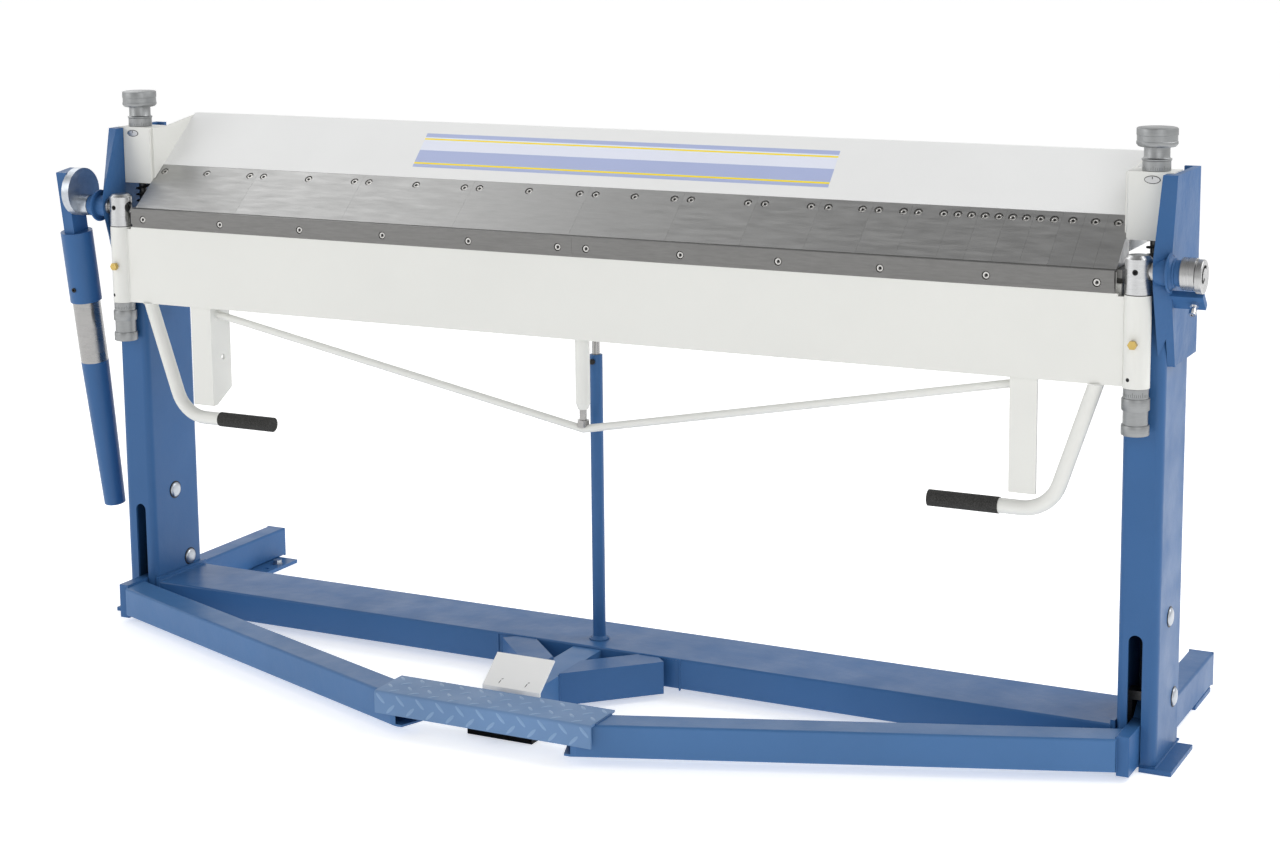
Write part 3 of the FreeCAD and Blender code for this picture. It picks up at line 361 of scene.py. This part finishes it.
class Soup:
    """Points and faces of several pieces that share one mesh."""

    def __init__(self):
        self.verts = []
        self.faces = []

    def add(self, verts, faces):
        base = len(self.verts)
        self.verts += [tuple(v) for v in verts]
        self.faces += [tuple(base + i for i in face) for face in faces]

    def grid(self, rows):
        """Skins closed rows of equal length, and caps the first and the last."""
        count = len(rows[0])
        verts = [v for row in rows for v in row]
        faces = []
        for j in range(len(rows) - 1):
            for i in range(count):
                k = (i + 1) % count
                faces.append((j * count + i, j * count + k, (j + 1) * count + k, (j + 1) * count + i))
        faces.append(tuple(range(count))[::-1])
        faces.append(tuple((len(rows) - 1) * count + i for i in range(count)))
        self.add(verts, faces)

    def sweep(self, points, radius, sides=8):
        """A round section along a polyline; radius is a number or one per point."""
        points = [Vector(p) for p in points]
        radii = radius if isinstance(radius, list) else [radius] * len(points)
        ahead = (points[1] - points[0]).normalized()
        side = ahead.orthogonal().normalized()
        rows = []
        for i, point in enumerate(points):
            low, high = points[max(i - 1, 0)], points[min(i + 1, len(points) - 1)]
            ahead = (high - low).normalized()
            side = (side - ahead * side.dot(ahead)).normalized()
            over = ahead.cross(side)
            turns = [math.tau * k / sides for k in range(sides)]
            rows.append([point + (side * math.cos(t) + over * math.sin(t)) * radii[i] for t in turns])
        self.grid(rows)

    def lathe(self, profile, centre, axis="z", count=96):
        """Turns (radius, height, knurl depth) rows about an axis through 'centre'."""
        rows = []
        for radius, height, depth in profile:
            row = []
            for k in range(count):
                r = max(radius - depth * (k % 2), 0.01)
                a = math.tau * k / count
                u, v = r * math.cos(a), r * math.sin(a)
                offset = Vector((u, v, height)) if axis != "x" else Vector((height, u, v))
                if isinstance(axis, Vector):
                    offset = axis.to_track_quat("Z", "Y") @ offset
                row.append(Vector(centre) + offset)
            rows.append(row)
        self.grid(rows)

    def slab(self, corners, thickness):
        """A thin plate on a four-cornered outline, raised along its normal."""
        corners = [Vector(c) for c in corners]
        normal = (corners[1] - corners[0]).cross(corners[2] - corners[1]).normalized() * thickness
        self.grid([corners, [c + normal for c in corners]])

    def lozenge(self, centre, along, normal, length, width, height):
        """A raised tear-drop of chequer plate."""
        along, normal = Vector(along).normalized(), Vector(normal)
        across = normal.cross(along)
        rows = []
        for scale, lift in ((1.0, -0.3), (1.0, 0.0), (0.72, 0.75), (0.35, 1.0)):
            row = []
            for k in range(12):
                t = math.tau * k / 12
                point = Vector(centre) + along * (math.cos(t) * length / 2 * scale)
                row.append(point + across * (math.sin(t) * width / 2 * scale) + normal * (height * lift))
            rows.append(row)
        self.grid(rows)


# ---------------------------------------------------------------- weld beads
def resample(points, step):
    """Points along a polyline, about one step apart, with its corners kept."""
    points = [Vector(p) for p in points]
    out = [points[0]]
    for a, b in zip(points, points[1:]):
        count = max(1, round((b - a).length / step))
        out += [a.lerp(b, (i + 1) / count) for i in range(count)]
    return out


def circle(centre, radius, axis="z", count=36):
    """A closed seam round the z or the x axis."""
    out = []
    for k in range(count + 1):
        t = math.tau * k / count
        u, v = radius * math.cos(t), radius * math.sin(t)
        out.append(Vector(centre) + Vector((u, v, 0) if axis == "z" else (0, u, v)))
    return out


def ring(x0, x1, y0, y1, z):
    """A closed rectangular seam at one height."""
    return [(x0, y0, z), (x1, y0, z), (x1, y1, z), (x0, y1, z), (x0, y0, z)]


def beads(name, body, material, seams, radius, mirrored=True):
    """Rippled weld beads along seams; they are sunk halfway into the joint."""
    rng = random.Random(len(name))
    soup = Soup()
    for seam in seams:
        copies = [seam]
        if mirrored:
            copies.append([(-p[0], p[1], p[2]) for p in seam])
        for points in copies:
            run = resample(points, BEAD_STEP)
            radii = [radius * (0.86 + 0.2 * abs(math.sin(i * 0.9)) + rng.uniform(-0.06, 0.06))
                     for i in range(len(run))]
            radii[0] = radii[-1] = radius * 0.4
            soup.sweep(run, radii, 6)
    make(name, soup.verts, soup.faces, material, body)


beads("stand_weld_beads", "stand", BLUE, [
    # columns on the front foot plates
    ring(COLUMN_IN, COLUMN_OUT, COLUMN_FRONT, COLUMN_BACK, PLATE_TOP),
    # lower edges of the heads
    [(1111, 34, 712.6), (1111, 172, 712.6)],
    [(1121, 34, 712.6), (1110.4, 26, 716)],
    # rear legs on the columns
    [(1048, 171, 8), (1095, 171, 8), (1095, 172, 72), (1048, 172, 72), (1048, 172, 8)],
    # stretcher on its end plates
    [(1030, 11, 76), (1030, 165, 76)],
    [(1030, 10, 17), (1030, 10, 76)],
    # braces on the stretcher, then on the front bar
    [(113, 10, 14), (113, 10, 75), (198, 10, 75), (198, 10, 14)],
    [(30, -73, 14), (30, -73, 72), (30, -158, 72), (30, -158, 14)],
    # rear legs on the rear foot plates
    [(1094, 358, 8), (1094, 472, 8)],
    # caps on the columns
    ring(COLUMN_IN + 1, COLUMN_OUT - 1, COLUMN_FRONT + 1, COLUMN_BACK - 1, COLUMN_TOP),
], 2.2)
beads("prop_weld_bead", "stand", BLUE, [circle((0, 61, 77.5), 18)], 1.8, False)
beads("head_hub_beads", "stand", BLUE_CAST, [
    # both ends of a hub's flare
    circle((1121.4, AXIS_Y, AXIS_Z), 30.6, "x", 44),
    circle((1129.5, AXIS_Y, AXIS_Z), 22.4, "x", 40),
], 2.6)
beads("pedal_weld_beads", "pedal", BLUE, [
    # arms on the levers, then on the tread's ends
    [(1059.5, -57, 16), (1059.5, -57, 78), (1059.5, -3, 78)],
    [(224, -381, 77), (224, -318, 77)],
], 2.2)
beads("folding_beam_beads", "folding_beam", WHITE, [
    # beam on the guide tubes, truss brackets and handles under the beam, truss rod in its brackets
    [(1046.5, -26, 686), (1046.5, -26, 834)],
    [(850, -18, BEAM_FOOT), (896, -18, BEAM_FOOT)],
    circle((1000, AXIS_Y, BEAM_FOOT), 14),
    circle((847.5, 6, 665), 8.2, "x", 20),
], 1.7)
beads("strut_bead", "folding_beam", WHITE, [circle((0, 6, BEAM_FOOT), 14.4)], 1.6, False)
beads("end_guide_beads", "upper_beam", WHITE, [[(1030.3, 39.5, 936), (1030.3, 39.5, 1037)]], 1.4)


# ---------------------------------------------------------------- knobs and dials
def ticks(name, body, spots, radius, low, count):
    """Black ticks of a scale round a knob, standing proud by a hair."""
    soup = Soup()
    for x, y, z in spots:
        for k in range(count):
            a = math.tau * k / count
            out = Vector((math.cos(a), math.sin(a), 0))
            side = Vector((-out.y, out.x, 0)) * 0.22
            tall = low * (1.0 if k % 5 == 0 else 0.6)
            foot = Vector((x, y, z)) + out * (radius - 0.05)
            up = Vector((0, 0, tall))
            soup.slab([foot - side, foot + side, foot + side + up, foot - side + up], 0.12)
    make(name, soup.verts, soup.faces, BLACK, body, smooth=False)


# Turned profiles, as rows of radius, height and knurl depth
TOP_KNOB = ((8.05, 0, 0), (23.5, 0, 0), (24, 0.6, 0), (24, 16.6, 0), (25.4, 18, 0), (25.5, 20, 0),
            (22.6, 21.6, 0), (22, 22.6, 0), (22, 40.8, 0), (31.5, 41, 0), (34.6, 44.4, 0),
            (35, 46, 0.3), (35, 49.6, 0.3), (34.3, 50.2, 0), (34.3, 59.8, 0), (35, 60.4, 0.3),
            (35, 70.6, 0.3), (34.4, 72, 0), (32.6, 73, 0), (0, 73, 0))
LOWER_KNOB = ((0, 0, 0), (22.2, 0, 0), (23.4, 0.6, 0), (24, 1.6, 0.3), (24, 17, 0.3), (23.4, 18, 0),
              (21.3, 18.3, 0), (21.3, 42.7, 0), (23.2, 43, 0), (24, 44, 0.4), (24, 63, 0.4),
              (23.4, 63.9, 0), (21.8, 64.2, 0), (21.8, 80.6, 0), (21.4, 81, 0), (15.05, 81, 0))
for side, sign in (("right", 1), ("left", -1)):
    soup = Soup()
    soup.lathe(TOP_KNOB, (sign * TOP_KNOB_X, TOP_KNOB_Y, TOP_KNOB_FOOT), count=160)
    name = "top_knob_" + side
    make(name + "_turned", soup.verts, soup.faces, KNOB, name, [name])
    ticks(name + "_scale", name, [(sign * TOP_KNOB_X, TOP_KNOB_Y, TOP_KNOB_FOOT + 2.2)], 24, 7, 40)
    soup = Soup()
    soup.lathe(LOWER_KNOB, (sign * LOWER_KNOB_X, AXIS_Y, LOWER_KNOB_FOOT), count=120)
    name = "lower_knob_" + side
    make(name + "_turned", soup.verts, soup.faces, KNOB, name, [name])
    ticks(name + "_scale", name, [(sign * LOWER_KNOB_X, AXIS_Y, LOWER_KNOB_FOOT + 67.5)], 21.8, 8, 40)


def ellipse(x, y, z, wide, tall, depth, count=28):
    """Front and back outline of an oval plate."""
    front = [(x + wide * math.cos(math.tau * k / count), y, z + tall * math.sin(math.tau * k / count))
             for k in range(count)]
    return [front, [(px, py - depth, pz) for px, py, pz in front]]


# Oval plates with a pointer, on the end guides under the top knobs
rims, plates = Soup(), Soup()
for sign in (1, -1):
    middle = sign * TOP_KNOB_X
    low, high = POINTER_Z + 1, POINTER_Z + 5
    rims.grid(ellipse(middle, 39.1, POINTER_Z, 14, 7, 0.6))
    plates.grid(ellipse(middle, 38.6, POINTER_Z, 12.8, 5.8, 0.5))
    rims.slab([(middle - 0.7, 38.1, low), (middle + 0.7, 38.1, low), (middle + 0.7, 38.1, high),
               (middle - 0.7, 38.1, high)], 0.2)
make("pointer_plate_rims", rims.verts, rims.faces, BLACK, "upper_beam")
make("pointer_plates", plates.verts, plates.faces, ALU, "upper_beam")


# ---------------------------------------------------------------- lift springs
def springs():
    """Plain coils between the column caps and the end guides."""
    soup = Soup()
    turns, wire, mean = 6.5, 2.3, 12.6
    low, high = SPRING_FOOT + wire, SPRING_HEAD - wire
    steps = 220
    for sign in (1, -1):
        run = []
        for k in range(steps + 1):
            f = k / steps
            a = math.tau * turns * f
            run.append((sign * TOP_KNOB_X + mean * math.cos(a), TOP_KNOB_Y + mean * math.sin(a),
                        low + (high - low) * f))
        soup.sweep(run, wire, 8)
    coil = make("lift_spring_coils", soup.verts, soup.faces, BLACK, None, ["lift_springs"])
    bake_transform(coil)


springs()


# ---------------------------------------------------------------- column pins
def pins():
    """Pins through the columns: shanks, domed heads and dark washers."""
    heads, rings = Soup(), Soup()
    dome = ((16, 0, 0), (16, 1.6, 0), (15.2, 3.0, 0), (12.5, 4.6, 0), (8, 5.6, 0), (0.1, 6, 0))
    washer = ((18.6, 0, 0), (18.6, 0.8, 0), (16.2, 0.9, 0))
    for sign in (1, -1):
        for y, z in COLUMN_PINS:
            for x, out in ((sign * COLUMN_OUT, sign), (sign * COLUMN_IN, -sign)):
                heads.lathe([(r, t * out, 0) for r, t, _ in dome], (x, y, z), "x", 40)
                rings.lathe([(r, t * out, 0) for r, t, _ in washer], (x, y, z), "x", 40)
            middle = sign * (COLUMN_IN + COLUMN_OUT) / 2
            heads.lathe(((9.95, -34, 0), (9.95, 34, 0)), (middle, y, z), "x", 32)
    make("column_pin_heads", heads.verts, heads.faces, ZINC, "stand", ["column_pins"])
    make("column_pin_rings", rings.verts, rings.faces, BLACK, "stand")


pins()


# ---------------------------------------------------------------- tread and release plate
def tread():
    """Folded chequer plate, with its tear-drops alternating at 45 degrees."""
    top, front, back, foot = 80.2, -397.2, -304, 38
    half, corner, thickness = 223, 5, 4
    outer = [(front, foot)]
    inner = [(front + thickness, foot)]
    for k in range(7):
        a = math.pi / 2 * k / 6
        outer.append((front + corner - corner * math.cos(a), top - corner + corner * math.sin(a)))
        inner.append((front + corner - math.cos(a), top - corner + math.sin(a)))
    section = outer + [(back, top), (back, top - thickness)] + inner[::-1]
    soup = Soup()
    soup.grid([[(x, y, z) for y, z in section] for x in (-half, half)])
    # The tread's lighter blue is partly painted light on its top
    make("chequer_tread", soup.verts, soup.faces, TREAD_BLUE, "pedal", ["tread_plate"])
    soup = Soup()
    pitch, row_pitch, reach = 42, 21.5, 214
    width, height = 6.4, 0.8
    for row in range(4):
        lean, shift = (-1, 0) if row % 2 else (1, pitch / 2)
        for k in range(-5, 6):
            x = k * pitch + shift
            if abs(x) < reach:
                y = -384 + row * row_pitch
                soup.lozenge((x, y, top), (lean, 1, 0), (0, 0, 1), 22, width, height)
    for z, lean, shift in ((67, -1, 0), (49, 1, pitch / 2)):
        for k in range(-5, 6):
            x = k * pitch + shift
            if abs(x) < reach:
                soup.lozenge((x, front, z), (lean, 0, 1), (0, -1, 0), 25, width, height)
    # The tear-drops carry the painted highlight blue
    make("tread_tear_drops", soup.verts, soup.faces, HIGHLIGHT_BLUE, "pedal")


tread()

# Two worn spots on the release plate, each of two short scratches
PLATE_NORMAL = (0, -0.62, 0.785)
marks = Soup()
for x in (-28, 27):
    marks.lozenge((x, -277, 88.2), (0.3, 0.78, 0.62), PLATE_NORMAL, 9, 1.6, 0.25)
    marks.lozenge((x + 3, -272, 92.1), (1, 0.2, 0.16), PLATE_NORMAL, 5, 1.4, 0.25)
make("release_plate_scratches", marks.verts, marks.faces, BLACK, "release_plate")


# ---------------------------------------------------------------- stripes on the upper beam
def stripes():
    """Plain coloured bands on the sloping face, set between two slanted ends."""
    foot, rise = Vector((0, 77.5, 960)), Vector((0, 111.5, 99)).normalized()
    out = Vector((0, -rise.z, rise.y))
    start, height = 28, 90
    bands = ((0.0, 0.09, STRIPE), (0.09, 0.14, YELLOW), (0.14, 0.50, STRIPE), (0.50, 0.81, STRIPE_PALE),
             (0.81, 0.855, YELLOW), (0.855, 0.89, STRIPE_PALE), (0.89, 1.0, STRIPE))
    for n, (low, high, material) in enumerate(bands):
        soup = Soup()
        corners = []
        for f, right in ((low, 0), (low, 1), (high, 1), (high, 0)):
            x = (462 - 3.4 * f) if right else (-427 - 5 * f)
            corners.append(Vector((x, 0, 0)) + foot + rise * (start + height * f) + out * 0.05)
        soup.slab(corners, 0.15)
        make("stripe_%d" % n, soup.verts, soup.faces, material, "upper_beam", smooth=False)


stripes()


# ---------------------------------------------------------------- socket screws
def screws(name, node, body, spots, normal, bore, radius, cap_height):
    """Socket cap screws in their counterbores: a cap on a washer, with black discs of painted shade in the
    socket and in the gap round the washer.
    """
    caps, shade_rings = Soup(), Soup()
    cap = ((radius, 0, 0.12), (radius, cap_height - 0.9, 0.12), (radius - 0.8, cap_height, 0),
           (3.7, cap_height, 0), (3.1, cap_height - 0.5, 0), (2.9, cap_height - 2.6, 0))
    for spot in spots:
        caps.lathe(cap, spot, normal, 30)
        caps.lathe(((bore - 0.8, 0.1, 0), (bore - 0.8, 1.6, 0), (radius + 0.25, 1.7, 0)), spot, normal, 24)
        # Painted shade: black rings at the floor of the counterbore round the washer, and at the bottom of
        # the socket
        shade_rings.lathe(((bore - 0.05, 0.1, 0), (bore - 0.05, 1.0, 0), (radius + 0.05, 1.0, 0)), spot, normal, 24)
        shade_rings.lathe(((2.85, cap_height - 2.55, 0), (2.85, cap_height - 2.3, 0)), spot, normal, 6)
    make(name, caps.verts, caps.faces, CAP, body, [node])
    make(name + "_recess_shade", shade_rings.verts, shade_rings.faces, BLACK, body)


def finger_screw_spots():
    """Centres of the screws in the finger row, at the floor of each counterbore."""
    normal = Vector((0, -FINGER_RISE.z, FINGER_RISE.y))
    down, bore_depth = 18, 7
    low, spots = -HALF_LENGTH, []
    for width in FINGER_WIDTHS:
        edge = width / 4 if width < 60 else 14 if width < 90 else 17
        if width < 45:
            row = (low + width / 2,)
        elif width > 180:
            row = (low + edge, low + width / 2, low + width - edge)
        else:
            row = (low + edge, low + width - edge)
        spots += [Vector((x, 0, 0)) + FINGER_TOP - FINGER_RISE * down - normal * bore_depth for x in row]
        low += width
    return spots, normal


FINGER_SPOTS, FINGER_NORMAL = finger_screw_spots()
screws("finger_cap_screws", "finger_screws", "upper_beam", FINGER_SPOTS, FINGER_NORMAL, 8.0, 6.3, 6.2)
BLADE_SPOTS = [Vector((sign * x, BLADE_BORE_Y, BLADE_SCREW_Z)) for x in BLADE_SCREWS for sign in (1, -1)]
screws("blade_cap_screws", "blade_screws", "folding_beam", BLADE_SPOTS, Vector((0, -1, 0)), 7.5, 6.5, 5.8)


# ---------------------------------------------------------------- stop collar, painted shade in its slot, in the gaps and on the front foot
# The collar's face disc sits a little off the shaft, as a pinch clamp's does
STOP_X, STOP_Y, STOP_Z = 1177.6, -12, 876
collar = Soup()
collar.lathe(((12.1, 1142, 0), (26.7, 1142, 0), (27.5, 1142.8, 0), (27.5, 1166, 0), (12.1, 1166, 0)),
             (0, AXIS_Y, AXIS_Z), "x", 72)
collar.lathe(((12.5, 1165.9, 0), (28.2, 1165.9, 0), (29, 1166.7, 0), (29, 1176.4, 0), (27.8, 1177.5, 0),
              (8, 1177.5, 0)), (0, STOP_Y, STOP_Z), "x", 72)
make("stop_collar_turned", collar.verts, collar.faces, SHAFT, "folding_axis", ["stop_collar"])

# Curved slot in the disc's face, drawn as a thin black inlay of painted shade
slot_shade = Soup()
arc = [(STOP_X, STOP_Y + 17 * math.cos(t), STOP_Z + 17 * math.sin(t))
       for t in [math.radians(a) for a in range(60, 201, 10)]]
arc += [(STOP_X, STOP_Y - 10, STOP_Z - 8), (STOP_X, STOP_Y - 2, STOP_Z - 4)]
for (x, y0, z0), (_, y1, z1) in zip(arc, arc[1:]):
    run = Vector((0, y1 - y0, z1 - z0)).normalized()
    side = Vector((0, -run.z, run.y)) * 2.3
    low, high = Vector((x, y0, z0)) - run * 1.2, Vector((x, y1, z1)) + run * 1.2
    slot_shade.slab([low - side, high - side, high + side, low + side], 0.3)
make("stop_collar_slot_shade", slot_shade.verts, slot_shade.faces, BLACK, "folding_axis", smooth=False)

# Painted shade: black bands in the gaps between the guide tubes and the pivot blocks; also a small dark disc
# low in each tube's side
gap_shades = Soup()
for sign in (1, -1):
    gap_shades.lathe(((23.15, 0, 0), (23.15, 1.5, 0)), (sign * LOWER_KNOB_X, AXIS_Y, 839.9), "z", 48)
    facing = Vector((-0.4, -0.92, 0)).normalized()
    plug = Vector((sign * LOWER_KNOB_X, AXIS_Y, 697)) + facing * 22.8
    gap_shades.lathe(((3.4, 0, 0), (3.4, 0.5, 0), (2, 0.6, 0)), plug, facing, 16)
make("guide_tube_gap_shade", gap_shades.verts, gap_shades.faces, BLACK, "folding_beam")

# Painted shade: a near-black skin over the front bar's foot, up to 0.3 mm outside it
SHADE_CORNERS = ((-67.3, -330), (67.3, -330), (67.3, -269.7), (-67.3, -269.7))
foot_shade = Soup()
foot_shade.grid([[(x, y, z) for x, y in SHADE_CORNERS] for z in (0.0, 12.3)])
make("front_foot_shade", foot_shade.verts, foot_shade.faces, SHADE_BLACK, "stand", smooth=False)
